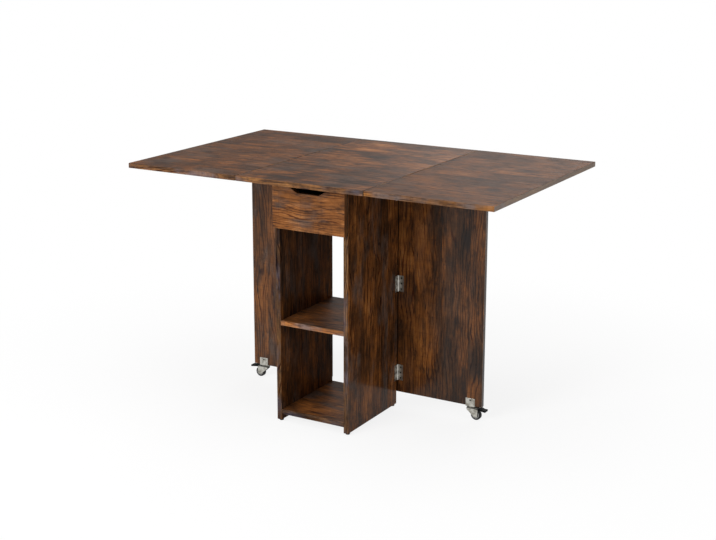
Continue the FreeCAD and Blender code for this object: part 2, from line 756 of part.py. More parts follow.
drawer_right_side = node(cut(
    "drawer_right_side",
    board("drawer_side_blank", ("drawer_board_thickness", "drawer_box_depth", "drawer_box_height"),
          ("drawer_inner", "drawer_front_back", "drawer_box_bottom"), "drawer_edge_round"),
    right_drawer_openings))
node(mirror("drawer_left_side", drawer_right_side))
node(cut(
    "drawer_back",
    board("drawer_back_blank", ("2 * drawer_inner", "drawer_board_thickness", "drawer_box_height"),
          ("-drawer_inner", "drawer_back_front", "drawer_box_bottom"), "drawer_edge_round"),
    fuse("drawer_back_openings", [drawer_joint_holes, back_groove])))
node(box(
    "drawer_bottom",
    ("2 * drawer_inner + 2 * bottom_tongue",
     "drawer_box_depth - drawer_board_thickness + 2 * bottom_tongue", "drawer_bottom_thickness"),
    ("-drawer_inner - bottom_tongue", "drawer_front_back - bottom_tongue", "drawer_bottom_height")))

# Castor brackets under the gates

BRACKET_SCREWS = [
    (("castor_x", "gate_front - bracket_plate", "bracket_screw_height"), AS_DRAWN),
    (("castor_x - bracket_screw_spread", "gate_back + bracket_plate", "bracket_screw_height"),
     DRIVEN_FORWARD),
    (("castor_x + bracket_screw_spread", "gate_back + bracket_plate", "bracket_screw_height"),
     DRIVEN_FORWARD),
]
right_castor_bracket_screws = node(group("right_castor_bracket_screws", copies(
    "bracket_screw", small_screw, BRACKET_SCREWS)))
node(mirror("left_castor_bracket_screws", right_castor_bracket_screws))
bracket_holes = group("bracket_holes", copies("bracket_hole", small_screw_hole, BRACKET_SCREWS))
bracket_lip = "gate_bottom + bracket_flange_height"
bracket_channel = padded("bracket_channel", [
    ("gate_front - bracket_plate", "castor_height"),
    ("gate_back + bracket_plate", "castor_height"),
    ("gate_back + bracket_plate", bracket_lip),
    ("gate_back", bracket_lip),
    ("gate_back", "gate_bottom"),
    ("gate_front", "gate_bottom"),
    ("gate_front", bracket_lip),
    ("gate_front - bracket_plate", bracket_lip),
], "bracket_width", ("castor_x - bracket_width / 2", "0", "0"), SECTION_ALONG_X, "bracket_edge_round")
race = rod("race", "race_radius", "race_height", ("castor_x", "castor_y", "castor_height - race_height"))
king_pin_hole = rod("king_pin_hole", "king_pin_radius + running_fit", "castor_height + overrun",
                    ("castor_x", "castor_y", "0"))
right_castor_bracket = node(cut(
    "right_castor_bracket",
    fuse("bracket_with_race", [bracket_channel, race]),
    fuse("bracket_openings", [king_pin_hole, bracket_holes])))
node(mirror("left_castor_bracket", right_castor_bracket))
right_castor_king_pin = node(turned("right_castor_king_pin", [
    ("0", "king_pin_foot"),
    ("king_pin_head_radius", "king_pin_foot"),
    ("king_pin_head_radius", "king_pin_foot + king_pin_head_height"),
    ("king_pin_radius", "king_pin_foot + king_pin_head_height"),
    ("king_pin_radius", "gate_bottom"),
    ("0", "gate_bottom"),
], ("castor_x", "castor_y", "0"), UPRIGHT))
node(mirror("left_castor_king_pin", right_castor_king_pin))

# Gates

right_gate_panel = node(cut(
    "right_gate_panel",
    board("right_gate_blank", ("gate_width", "board_thickness", "gate_height"),
          ("gate_inner", "gate_front", "gate_bottom")),
    fuse("gate_openings", [
        hinge_set("gate_hinge_holes", hinge_holes, GATE_PINS, ON_GATE), bracket_holes])))
node(mirror("left_gate_panel", right_gate_panel))

# Castors

AXLE_AT = ("castor_x + castor_trail", "castor_y", "wheel_radius")
fork_blank = padded("fork_blank", [
    ("-fork_back", "fork_top"),
    ("fork_front", "fork_top"),
    ("fork_front", "fork_top - cheek_front_drop"),
    ("castor_trail + cheek_foot_front", "wheel_radius - cheek_foot_drop"),
    ("castor_trail - cheek_foot_back", "wheel_radius - cheek_foot_drop"),
    ("-fork_back", "fork_top - cheek_back_drop"),
], "fork_width", ("castor_x", "castor_y + fork_width / 2", "0"), UPRIGHT, "fork_edge_round")
fork_openings = fuse("fork_openings", [
    box("fork_wheel_gap", ("fork_back + fork_front + 2 * overrun", "fork_gap", "fork_underside"),
        ("castor_x - fork_back - overrun", "castor_y - fork_gap / 2", "0")),
    box("fork_pedal_gap", ("fork_front - fork_bridge_front + overrun", "fork_gap", "fork_top"),
        ("castor_x + fork_bridge_front", "castor_y - fork_gap / 2", "overrun")),
    king_pin_hole,
    rod("axle_hole", "axle_radius + running_fit", "fork_width + 2 * overrun",
        ("castor_x + castor_trail", "castor_y - fork_width / 2 - overrun", "wheel_radius"), LYING_ALONG_Y),
    rod("brake_hole", "brake_pin_radius + running_fit", "fork_width + 2 * overrun",
        ("brake_x", "castor_y - fork_width / 2 - overrun", "brake_height"), LYING_ALONG_Y),
])
right_castor_fork = node(cut("right_castor_fork", fork_blank, fork_openings))
node(mirror("left_castor_fork", right_castor_fork))
right_castor_axle = node(turned("right_castor_axle", [
    ("0", "-axle_end"),
    ("axle_head_radius", "-axle_end"),
    ("axle_head_radius", "-fork_width / 2"),
    ("axle_radius", "-fork_width / 2"),
    ("axle_radius", "fork_width / 2"),
    ("axle_head_radius", "fork_width / 2"),
    ("axle_head_radius", "axle_end"),
    ("0", "axle_end"),
], AXLE_AT))
node(mirror("left_castor_axle", right_castor_axle))
right_castor_hub = node(turned("right_castor_hub", [
    ("axle_radius + running_fit", "-tyre_half - hub_boss_stand"),
    ("hub_boss_radius", "-tyre_half - hub_boss_stand"),
    ("hub_boss_radius", "-tyre_half + hub_dish"),
    ("hub_radius - hub_rim", "-tyre_half + hub_dish"),
    ("hub_radius - hub_rim", "-tyre_half"),
    ("hub_radius", "-tyre_half"),
    ("hub_radius", "tyre_half"),
    ("hub_radius - hub_rim", "tyre_half"),
    ("hub_radius - hub_rim", "tyre_half - hub_dish"),
    ("hub_boss_radius", "tyre_half - hub_dish"),
    ("hub_boss_radius", "tyre_half + hub_boss_stand"),
    ("axle_radius + running_fit", "tyre_half + hub_boss_stand"),
], AXLE_AT))
node(mirror("left_castor_hub", right_castor_hub))
right_castor_tyre = node(turned("right_castor_tyre", [
    ("hub_radius + hole_fit", "-tyre_half"),
    ("wheel_radius - tyre_round", "-tyre_half"),
    ("wheel_radius", "-tyre_half + tyre_round"),
    ("wheel_radius", "tyre_half - tyre_round"),
    ("wheel_radius - tyre_round", "tyre_half"),
    ("hub_radius + hole_fit", "tyre_half"),
], AXLE_AT))
node(mirror("left_castor_tyre", right_castor_tyre))

# Brake pedals, with moulded pins that turn in the fork's cheeks

pedal_arm = padded("pedal_arm", [
    ("0", "pedal_rise"),
    ("pedal_arm_reach", "pedal_rise - pedal_slope"),
    ("pedal_arm_reach", "-pedal_arm_drop"),
    ("shoe_reach", "-shoe_drop"),
    ("0", "-pedal_rise"),
], "brake_arm_width", ("brake_x", "castor_y + brake_arm_width / 2", "brake_height"), UPRIGHT)
pedal_pad = padded("pedal_pad", [
    ("pedal_pad_start", "pedal_pad_rise"),
    ("pedal_hump_reach", "pedal_hump_rise"),
    ("pedal_waist_reach", "pedal_waist_rise"),
    ("pedal_tip_reach", "pedal_tip_rise"),
    ("pedal_tip_reach", "pedal_tip_rise - pedal_tip_thickness"),
    ("pedal_pad_start", "-pedal_pad_drop"),
], "pedal_width", ("brake_x", "castor_y + pedal_width / 2", "brake_height"), UPRIGHT, "fork_edge_round")
right_castor_brake_pedal = node(fuse("right_castor_brake_pedal", [
    pedal_arm,
    pedal_pad,
    rod("brake_hub", "brake_hub_radius", "brake_arm_width",
        ("brake_x", "castor_y - brake_arm_width / 2", "brake_height"), LYING_ALONG_Y),
    rod("brake_pins", "brake_pin_radius", "fork_width",
        ("brake_x", "castor_y - fork_width / 2", "brake_height"), LYING_ALONG_Y),
]))
node(mirror("left_castor_brake_pedal", right_castor_brake_pedal))

# Every object has to be sound before anything is written

doc.recompute()
for piece in doc.Objects:
    if "Invalid" in piece.State or "Error" in piece.State:
        raise RuntimeError(f"{piece.Label} did not build: {piece.State}")
for piece in nodes:
    if piece.Shape.isNull() or not piece.Shape.isValid() or not piece.Shape.Solids:
        raise RuntimeError(f"{piece.Label} has no sound solid")

os.makedirs("parts", exist_ok=True)
for piece in nodes:
    piece.Shape.exportStep(os.path.join("parts", f"{piece.Label}.step"))
    print(piece.Label, len(piece.Shape.Solids), round(piece.Shape.Volume))
print(len(nodes), "nodes")
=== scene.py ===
import json
import math
from typing import NamedTuple

import bpy
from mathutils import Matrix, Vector

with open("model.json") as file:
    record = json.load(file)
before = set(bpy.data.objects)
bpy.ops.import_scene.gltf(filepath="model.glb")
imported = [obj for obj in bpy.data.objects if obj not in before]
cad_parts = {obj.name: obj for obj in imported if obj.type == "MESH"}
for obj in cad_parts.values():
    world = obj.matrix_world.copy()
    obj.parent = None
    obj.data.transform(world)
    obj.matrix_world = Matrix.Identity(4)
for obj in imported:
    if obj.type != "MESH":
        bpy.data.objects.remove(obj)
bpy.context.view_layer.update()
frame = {"nodes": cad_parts, "record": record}

# Camera, set to the photograph's viewing angle: lens in pixels, place in metres, angles in degrees
IMAGE_WIDTH = 716
FOCAL_PIXELS = 1369.1
SENSOR_WIDTH = 36.0
CAMERA_AT = (2.016, -3.515, 1.507)
CAMERA_YAW = 30.45
CAMERA_PITCH = 13.59
LEVEL_TILT = 90.0
CAMERA_SHIFT = (0.0138, -0.05)

# Lamps: where each stands, how wide it is and its power in watts
TABLE_MIDDLE = (0.0, 0.0, 0.45)
LAMPS = {
    "key_lamp": ((-1.2, -4.3, 2.3), 2.6, 170.0),
    "right_fill_lamp": ((3.8, -1.2, 2.0), 2.6, 26.0),
    "top_lamp": ((0.2, -0.4, 3.6), 3.0, 53.0),
    "back_fill_lamp": ((-0.8, 4.2, 2.4), 3.0, 60.0),
}
WORLD_FILL = 0.34
WHITE = (1.0, 1.0, 1.0, 1.0)

# Floor: its grey, and how far it is whitened for the camera near the table, up to white further out
FLOOR_HALF = 40.0
FLOOR_GREY = (0.86, 0.86, 0.86, 1.0)
FLOOR_WHITENING = 0.84
FLOOR_SHADOW_REACH = (0.7, 1.7)

X, Y, Z = 0, 1, 2

# A surface faces an axis above the first turn, and is square to it above the end of the second
FACE_TURN = 0.7
EDGE_ROUND_TURN = (0.93, 0.995)


def paint(red, green, blue):
    """A colour as a paint chart gives it, 0 to 255, turned into the linear values that shaders take."""
    def linear(channel):
        share = channel / 255
        return share / 12.92 if share <= 0.04045 else ((share + 0.055) / 1.055) ** 2.4

    return (linear(red), linear(green), linear(blue), 1.0)


class Noise(NamedTuple):
    """Soft noise: how often its features repeat in a metre along each axis, and how fine they are."""
    repeats: tuple
    detail: float = 2.0
    roughness: float = 0.5


def grained(along, across, detail=2.0, roughness=0.5):
    """Noise drawn out along the grain, which is the first axis of a board's own coordinates."""
    return Noise((along, across, across), detail, roughness)


def even(repeats, detail=2.0, roughness=0.5):
    """Noise that is alike in all directions."""
    return Noise((repeats, repeats, repeats), detail, roughness)


# Sockets of the mix node, by number because its sockets for numbers and for colours share their names
MIX_FACTOR = 0
MIX_NUMBERS, MIX_NUMBER_RESULT = (2, 3), 0
MIX_COLOURS, MIX_COLOUR_RESULT = (6, 7), 2


class Tree:
    """The node tree of a new material or world, with short calls for the nodes that it is made of."""

    def __init__(self, owner):
        owner.use_nodes = True
        self.owner = owner
        self.nodes = owner.node_tree.nodes
        self.links = owner.node_tree.links

    def feed(self, socket, value):
        if isinstance(value, bpy.types.NodeSocket):
            self.links.new(value, socket)
        else:
            socket.default_value = value

    def node(self, kind, inputs=None, **settings):
        made = self.nodes.new(kind)
        for setting, value in settings.items():
            setattr(made, setting, value)
        for socket, value in (inputs or {}).items():
            self.feed(made.inputs[socket], value)
        return made

    def finish(self, **inputs):
        """Feeds the surface shader's own sockets, named with underscores for spaces."""
        shader = self.nodes["Principled BSDF"]
        for socket, value in inputs.items():
            self.feed(shader.inputs[socket.replace("_", " ")], value)
        return self.owner

    def math(self, operation, first, second=0.0):
        return self.node("ShaderNodeMath", {0: first, 1: second}, operation=operation).outputs[0]

    def weighted(self, *terms, base=0.0):
        """The sum of values, each times its weight, on top of a base."""
        for value, weight in terms:
            base = self.math("ADD", self.math("MULTIPLY", value, weight), base)
        return base

    def ramp(self, value, low, high, at_low=0.0, at_high=1.0):
        """The value's stretch from low to high, eased at both ends and held beyond them."""
        return self.node("ShaderNodeMapRange", {
            "Value": value, "From Min": low, "From Max": high, "To Min": at_low, "To Max": at_high,
        }, interpolation_type="SMOOTHSTEP").outputs["Result"]

    def either(self, factor, first, second):
        low, high = MIX_NUMBERS
        mix = self.node("ShaderNodeMix", data_type="FLOAT",
                        inputs={MIX_FACTOR: factor, low: first, high: second})
        return mix.outputs[MIX_NUMBER_RESULT]

    def blend(self, factor, under, over, kind="MIX"):
        base, top = MIX_COLOURS
        mix = self.node("ShaderNodeMix", data_type="RGBA", blend_type=kind,
                        inputs={MIX_FACTOR: factor, base: under, top: over})
        return mix.outputs[MIX_COLOUR_RESULT]

    def split(self, vector):
        return self.node("ShaderNodeSeparateXYZ", {0: vector}).outputs

    def joined(self, x, y, z):
        return self.node("ShaderNodeCombineXYZ", {0: x, 1: y, 2: z}).outputs[0]

    def vector(self, operation, first, second):
        return self.node("ShaderNodeVectorMath", {0: first, 1: second}, operation=operation).outputs[0]

    def noise(self, position, kind):
        return self.node("ShaderNodeTexNoise", {
            "Vector": self.vector("MULTIPLY", position, kind.repeats), "Scale": 1.0,
            "Detail": kind.detail, "Roughness": kind.roughness}).outputs["Fac"]

    def colours(self, value, stops):
        made = self.node("ShaderNodeValToRGB", {"Fac": value})
        elements = made.color_ramp.elements
        while len(elements) < len(stops):
            elements.new(1.0)
        for element, (position, colour) in zip(elements, stops):
            element.position = position
            element.color = colour
        return made.outputs["Color"]

    def place(self):
        """Where a point of the surface is at rest, in metres."""
        return self.node("ShaderNodeTexCoord").outputs["Object"]

    def turned(self):
        """How far the surface faces each axis, 0 to 1."""
        normal = self.node("ShaderNodeTexCoord").outputs["Normal"]
        return [self.math("ABSOLUTE", axis) for axis in self.split(normal)]

    def rounding(self):
        """1 where the surface turns from one axis to another, 0 where it faces one squarely."""
        turned = self.turned()
        squarest = self.math("MAXIMUM", self.math("MAXIMUM", turned[X], turned[Y]), turned[Z])
        return self.ramp(squarest, *EDGE_ROUND_TURN, 1.0, 0.0)

    def bump(self, height, depth):
        return self.node("ShaderNodeBump", {"Height": height, "Distance": depth}).outputs["Normal"]

    def seen(self):
        """1 for rays from the camera and for those that glossy and clear surfaces send on."""
        path = self.node("ShaderNodeLightPath").outputs
        return self.math("MAXIMUM", path["Is Camera Ray"],
                         self.math("MAXIMUM", path["Is Glossy Ray"], path["Is Transmission Ray"]))


# Planks of the print: width, a joint's half width and density, and how far apart in the wood they are cut
PLANK_WIDTH = 0.092
HALF_PLANK = 0.5
PLANK_JOINT = 0.0012
JOINT_DENSITY = 0.3
PLANK_JUMP = (9.0, 0.0, 9.0)

# Growth rings: what bends them and by how many rings, and the parts of a board where they show
RING_SWAY, SWAY_RINGS = grained(3.4, 12.0), 9.0
RING_JITTER, JITTER_RINGS = grained(30.0, 210.0), 0.4
SWIRL_RINGS = 2.0
RING_LINE = (0.45, 1.0)
RING_SHOW, RING_SHOW_BAND = grained(3.0, 15.0, 3.0), (0.38, 0.58, 0.3, 1.0)
RING_SHADE, RING_DENSITY = paint(128, 88, 60), 0.95

# Knots: how many, how ragged and how large they are, and how far the rings run round them
KNOT_REPEATS = (3.4, 9.5, 9.5)
KNOT_RAGGED, KNOT_RAGGED_SHARE = grained(40.0, 80.0), 0.08
KNOT_FROM = 0.7
KNOT_REACH = (0.08, 0.16)
SWIRL_REACH = (0.1, 0.5)
# The knots' dark colour also marks plank joints and paints the shade beside a gate's hinged edge
KNOT_AND_SHADE_COLOUR, KNOT_DENSITY = paint(24, 16, 13), 0.9

# Tones of the wood, dark to light, the shares of patches, streaks and planks in them, how far all boards
# drop, and how far painted shade darkens part of a board
WOOD_TONES = (
    (0.0, paint(42, 26, 15)),
    (0.28, paint(71, 44, 24)),
    (0.55, paint(104, 63, 31)),
    (0.8, paint(133, 82, 39)),
    (1.0, paint(157, 104, 59)),
)
PATCHES, PATCH_SHARE = grained(6.5, 15.0, 5.0, 0.62), 0.55
STREAKS, STREAK_SHARE = grained(10.0, 80.0, 4.0, 0.6), 0.38
PLANK_SHARE = 0.14
TONE_BAND = (0.28, 0.72)
TONE_MEAN = (PATCH_SHARE + STREAK_SHARE + PLANK_SHARE) / 2
TONE_DROP = 0.06
PAINTED_SHADE_DROP = 0.3

# Fibres: fine streaks that shade the wood
FIBRES = grained(26.0, 620.0, 3.0, 0.65)
FIBRE_BAND = (0.25, 0.75)
FIBRE_SHADE = (0.76, 1.2)


class Stain(NamedTuple):
    """
    A colour that lies where a noise is high, from one level on and in full at another. A broad stain
    grows with the board's patches.
    """
    noise: Noise
    start: float
    full: float
    density: float
    colour: tuple
    broad: bool = False


STAINS = {
    "haze": Stain(grained(7.0, 16.0, 4.0, 0.6), start=0.48, full=0.68, density=0.62,
                  colour=paint(84, 73, 67), broad=True),
    "smudge": Stain(grained(22.0, 48.0, 5.0, 0.68), start=0.51, full=0.69, density=0.66,
                    colour=paint(36, 25, 19)),
    "scorch": Stain(grained(9.0, 24.0, 5.0, 0.64), start=0.52, full=0.72, density=0.7,
                    colour=paint(29, 22, 20), broad=True),
    "saw_marks": Stain(grained(240.0, 7.0), start=0.52, full=0.72, density=0.2, colour=paint(36, 25, 19)),
    "pores": Stain(grained(20.0, 330.0), start=0.57, full=0.7, density=0.85, colour=paint(29, 22, 20)),
}

# Rounded corners that run along the grain, lighter partly from wear and partly as a painted highlight, and
# painted shade beside a hinged edge
WORN_AND_LIT_EDGE = paint(150, 112, 78)
RUBS, RUB_BAND = even(35.0, 3.0), (0.45, 0.65, 0.1, 0.55)
WORN_TURN = (0.05, 0.3)
HINGE_SHADE_REACH = (0.0035, 0.0075)
HINGE_SHADE_DENSITY = 0.85

# Depth of the wood's relief in metres, and the parts of it
WOOD_RELIEF = 0.00012
FIBRE_RELIEF, RING_RELIEF, PORE_RELIEF, JOINT_RELIEF = 0.5, -0.35, -0.8, -0.8

# Tints of the edge bands, the pale ones partly painted light and the dark one partly painted shade, and the
# pale painted sheen on the end of a leaf: its colour, density and reach in metres
CABINET_EDGE = (0.8, 1.1, 1.75)
PALE_EDGE = (2.2, 2.4, 2.7)
DARK_EDGE = (0.5, 0.5, 0.48)
PAINTED_SHEEN, PAINTED_SHEEN_DENSITY, PAINTED_SHEEN_REACH = paint(150, 137, 129), 0.6, 0.003

# Lacquer: its refraction, its roughness between the fibres and on them, and how far haze dulls it
LACQUER = 1.09
SATIN, POLISHED = (0.36, 0.48), (0.12, 0.2)
HAZE_DULLING = 0.12


def rustic_board(name, grain, face, offset, warmth=0.0, contrast=1.0, edge_tint=CABINET_EDGE,
                 end_tint=CABINET_EDGE, lacquer=LACQUER, gloss=SATIN, grow=(1.0, 1.0), rings=95.0,
                 haze=STAINS["haze"].density, painted_shade_band=None, painted_hinge_shade=None, painted_sheen_end=None):
    """
    Printed boards with the grain along one axis, and edge bands with the grain along each edge. The
    offset, in metres, picks the cut of wood. Grow stretches the patches along and across the grain, rings
    is their count in a metre, and haze is the density of the grey stain. The last three give the two places
    across the grain between which the wood is painted darker as shade, the place of a hinged edge beside
    which a dark line of shade is painted, and the place of an end that gets a pale painted sheen.
    """
    tree = Tree(bpy.data.materials.new(name))
    side = X + Y + Z - grain - face
    spot = tree.split(tree.vector("ADD", tree.place(), offset))
    turned = tree.turned()
    on_end = tree.math("GREATER_THAN", turned[grain], FACE_TURN)
    along = tree.either(on_end, spot[grain], spot[side])
    across = tree.either(on_end, spot[side], spot[grain])

    # planks of the print, side by side, each with its own cut of wood
    row_place = tree.math("DIVIDE", across, PLANK_WIDTH)
    plank = tree.node("ShaderNodeTexWhiteNoise", {"W": tree.math("FLOOR", row_place)},
                      noise_dimensions="1D")
    jump = tree.vector("MULTIPLY", plank.outputs["Color"], PLANK_JUMP)
    wood = tree.vector("ADD", tree.joined(along, across, spot[face]), jump)
    row_gap = tree.math("MULTIPLY", tree.math("PINGPONG", row_place, HALF_PLANK), PLANK_WIDTH)
    joint = tree.ramp(row_gap, 0.0, PLANK_JOINT, 1.0, 0.0)

    # growth rings that arch along the plank where they show, and knots that they run round
    knots = tree.node("ShaderNodeTexVoronoi", {
        "Vector": tree.vector("MULTIPLY", wood, KNOT_REPEATS), "Scale": 1.0})
    knot_reach = tree.weighted((tree.noise(wood, KNOT_RAGGED), KNOT_RAGGED_SHARE),
                               base=knots.outputs["Distance"])
    has_knot = tree.math("GREATER_THAN", tree.split(knots.outputs["Color"])[X], KNOT_FROM)
    knot = tree.math("MULTIPLY", tree.ramp(knot_reach, *KNOT_REACH, 1.0, 0.0), has_knot)
    swirl = tree.math("MULTIPLY", tree.ramp(knot_reach, *SWIRL_REACH, 1.0, 0.0), has_knot)
    ring_place = tree.weighted(
        (tree.math("ADD", across, spot[face]), rings), (tree.noise(wood, RING_SWAY), SWAY_RINGS),
        (tree.noise(wood, RING_JITTER), JITTER_RINGS), (swirl, SWIRL_RINGS))
    wave = tree.math("SINE", tree.math("MULTIPLY", ring_place, math.tau))
    ring = tree.math("MULTIPLY", tree.ramp(wave, *RING_LINE),
                     tree.ramp(tree.noise(wood, RING_SHOW), *RING_SHOW_BAND))

    # colour: patches and streaks of warm and dull wood, rings, stains, knots and fibres
    broad = tree.vector("DIVIDE", wood, (*grow, grow[1]))
    tone = tree.weighted(
        (tree.ramp(tree.noise(broad, PATCHES), *TONE_BAND), contrast * PATCH_SHARE),
        (tree.ramp(tree.noise(wood, STREAKS), *TONE_BAND), contrast * STREAK_SHARE),
        (plank.outputs["Value"], contrast * PLANK_SHARE),
        base=warmth - TONE_DROP + (1.0 - contrast) * TONE_MEAN)
    # painted shade: the tone drops across the grain between two places, darkening that part of the board as
    # shade
    if painted_shade_band:
        painted_dim = tree.ramp(spot[side], *[place + offset[side] for place in painted_shade_band])
        tone = tree.weighted((painted_dim, -PAINTED_SHADE_DROP), base=tone)
    colour = tree.colours(tone, WOOD_TONES)
    colour = tree.blend(tree.math("MULTIPLY", ring, RING_DENSITY), colour, RING_SHADE, "MULTIPLY")
    stained = {}
    stains = STAINS | {"haze": STAINS["haze"]._replace(density=haze)}
    for label, stain in stains.items():
        level = tree.noise(broad if stain.broad else wood, stain.noise)
        stained[label] = tree.ramp(level, stain.start, stain.full, 0.0, stain.density)
        colour = tree.blend(stained[label], colour, stain.colour)
    colour = tree.blend(tree.math("MULTIPLY", knot, KNOT_DENSITY), colour, KNOT_AND_SHADE_COLOUR)
    colour = tree.blend(tree.math("MULTIPLY", joint, JOINT_DENSITY), colour, KNOT_AND_SHADE_COLOUR)
    fibre = tree.noise(wood, FIBRES)
    fibre_shade = tree.ramp(fibre, *FIBRE_BAND, *FIBRE_SHADE)
    colour = tree.blend(1.0, colour, tree.joined(fibre_shade, fibre_shade, fibre_shade), "MULTIPLY")

    # edge bands, partly tinted as painted light and shade, a painted sheen on an end, corners along the
    # grain lighter from wear and as a painted highlight, and painted shade at a hinge
    on_face = tree.math("GREATER_THAN", turned[face], FACE_TURN)
    band_tint = tree.blend(on_end, (*edge_tint, 1.0), (*end_tint, 1.0))
    band = tree.blend(1.0, colour, band_tint, "MULTIPLY")
    # painted sheen: a pale grey veil on the outer end of a leaf stands in for a reflection
    if painted_sheen_end is not None:
        end_gap = tree.math("ABSOLUTE", tree.math("SUBTRACT", spot[grain], painted_sheen_end + offset[grain]))
        at_end = tree.math("MULTIPLY", on_end, tree.math("LESS_THAN", end_gap, PAINTED_SHEEN_REACH))
        band = tree.blend(tree.math("MULTIPLY", at_end, PAINTED_SHEEN_DENSITY), band, PAINTED_SHEEN)
    colour = tree.blend(tree.math("SUBTRACT", 1.0, on_face), colour, band)
    rubbed = tree.ramp(tree.noise(wood, RUBS), *RUB_BAND)
    # rounded corners along the grain get lighter, partly as wear and partly as a painted highlight
    worn_and_lit = tree.math("MULTIPLY", tree.rounding(), tree.ramp(turned[grain], *WORN_TURN, 1.0, 0.0))
    colour = tree.blend(tree.math("MULTIPLY", worn_and_lit, rubbed), colour, WORN_AND_LIT_EDGE)
    # painted shade: a dark line on the face beside the hinged edge, where the gap at the cabinet side lies
    # in shade
    if painted_hinge_shade is not None:
        edge_gap = tree.math("ABSOLUTE", tree.math("SUBTRACT", spot[side], painted_hinge_shade + offset[side]))
        colour = tree.blend(tree.ramp(edge_gap, *HINGE_SHADE_REACH, HINGE_SHADE_DENSITY, 0.0), colour, KNOT_AND_SHADE_COLOUR)

    roughness = tree.weighted((stained["haze"], HAZE_DULLING), base=tree.ramp(fibre, *FIBRE_BAND, *gloss))
    relief = tree.weighted((fibre, FIBRE_RELIEF), (ring, RING_RELIEF), (stained["pores"], PORE_RELIEF),
                           (joint, JOINT_RELIEF))
    return tree.finish(Base_Color=colour, Roughness=roughness, IOR=lacquer,
                       Normal=tree.bump(relief, WOOD_RELIEF))


# Boards: what alike ones share, where a leaf ends and a gate's hinged edge is, and each board's own look
# The top's pale edge and end tints are partly the edge bands' colour and partly painted light
TOP = {"grain": X, "face": Z, "edge_tint": (1.5, 1.95, 2.85), "end_tint": (1.8, 2.9, 4.6), "lacquer": 1.065,
       "grow": (1.3, 2.4)}
UPRIGHT_SIDE = {"grain": Z, "face": X}
GATE = {"grain": Z, "face": Y, "gloss": POLISHED}
SHELF = {"grain": X, "face": Z}
DRAWER_SIDE = {"grain": Y, "face": X, "warmth": -0.1}
LEAF_END = max(corner[X] for corner in frame["nodes"]["right_leaf_panel"].bound_box)
GATE_EDGE = min(corner[X] for corner in frame["nodes"]["right_gate_panel"].bound_box)
BOARDS = {
    "top_centre_panel": TOP | {"offset": (0.31, 0.02, 3.1), "contrast": 1.45},
    "left_leaf_panel": TOP | {"offset": (5.12, 1.04, 1.7), "warmth": -0.05, "contrast": 0.95,
                              "haze": 0.7, "painted_sheen_end": -LEAF_END},
    "right_leaf_panel": TOP | {"offset": (8.47, 2.71, 0.4), "contrast": 0.7, "edge_tint": (1.55, 1.85, 2.2),
                               "lacquer": 1.052, "haze": 0.8, "painted_sheen_end": LEAF_END},
    "cabinet_left_side": UPRIGHT_SIDE | {"offset": (2.2, 4.13, 6.3), "lacquer": 1.045},
    "cabinet_right_side": UPRIGHT_SIDE | {"offset": (1.4, 7.05, 2.9), "warmth": -0.02, "contrast": 1.1,
                                          "lacquer": 1.13, "gloss": POLISHED},
    # The middle shelf's pale front edge is partly a paler band and partly a painted highlight
    "middle_shelf": SHELF | {"offset": (3.3, 5.5, 9.2), "warmth": 0.05, "edge_tint": PALE_EDGE},
    "bottom_shelf": SHELF | {"offset": (6.1, 8.2, 4.4)},
    "back_rail": {"grain": X, "face": Y, "offset": (7.7, 3.9, 5.6)},
    # Both gates get a painted shade beside the hinged edge, and the right gate a painted shade over its
    # outer part
    "left_gate_panel": GATE | {"offset": (4.4, 6.6, 8.8), "contrast": 0.75, "lacquer": 1.3,
                               "painted_hinge_shade": -GATE_EDGE},
    "right_gate_panel": GATE | {"offset": (9.3, 2.5, 7.1), "warmth": 0.11, "lacquer": 1.31, "haze": 0.15,
                                "painted_shade_band": (0.2, 0.32), "painted_hinge_shade": GATE_EDGE},
    # The drawer front's dark edge tint also darkens its finger notch, partly as painted shade
    "drawer_front": {"grain": X, "face": Y, "offset": (1.9, 9.4, 3.6), "warmth": 0.23, "contrast": 1.05,
                     "edge_tint": DARK_EDGE, "end_tint": DARK_EDGE, "lacquer": 1.2, "rings": 130.0},
    "drawer_left_side": DRAWER_SIDE | {"offset": (2.7, 1.2, 7.9)},
    "drawer_right_side": DRAWER_SIDE | {"offset": (6.8, 3.1, 2.2)},
    "drawer_back": {"grain": X, "face": Y, "offset": (5.3, 7.4, 1.1), "warmth": -0.1},
    "drawer_bottom": SHELF | {"offset": (8.1, 6.3, 5.2), "warmth": -0.1},
}

# Metal: clouds and drawing marks in the plating, rubbed roundings, a darker band, and the sheet's zinc
# crystals
PLATING_CLOUDS, CLOUD_BAND, CLOUD_GLOSS_SHARE = even(90.0, 4.0, 0.6), (0.38, 0.66), 0.6
DRAWING_MARKS = Noise((420.0, 420.0, 30.0), 3.0, 0.7)
MARK_BAND, MARK_GLOSS_SHARE = (0.55, 0.75, 0.0, 0.5), 0.4
PLATING_GLOSS_BAND = (0.35, 0.65)
RUBBED_SHARE = 0.7
RACE_DARK, RACE_DARK_DENSITY, RACE_DARK_FADE = paint(34, 32, 30), 0.82, 0.0004
SPANGLE_REPEATS, SPANGLE_BAND, SPANGLE_GLOSS_SHARE = 190.0, (0.0, 1.0, 0.1, 0.9), 0.5
ROLLING_MARKS, ROLLING_GLOSS_SHARE = Noise((300.0, 25.0, 300.0), 3.0), 0.5
SHEET_GLOSS = (0.2, 0.8, 0.26, 0.5)
METAL_RELIEF = 0.00003

# Plastic and rubber: the mould's spark texture, and scuffs
SPARK = even(1500.0)
SCUFFS, SCUFF_BAND, SCUFF_GLOSS_BAND = even(170.0, 5.0, 0.65), (0.46, 0.74, 0.0, 0.7), (0.35, 0.7)
PLASTIC_RELIEF = 0.00003

# Dowels: flecks of beech
FLECKS, FLECK_BAND, FLECK_GLOSS = Noise((60.0, 500.0, 500.0), 3.0), (0.45, 0.7), (0.3, 0.7, 0.5, 0.7)
DOWEL_RELIEF = 0.00005


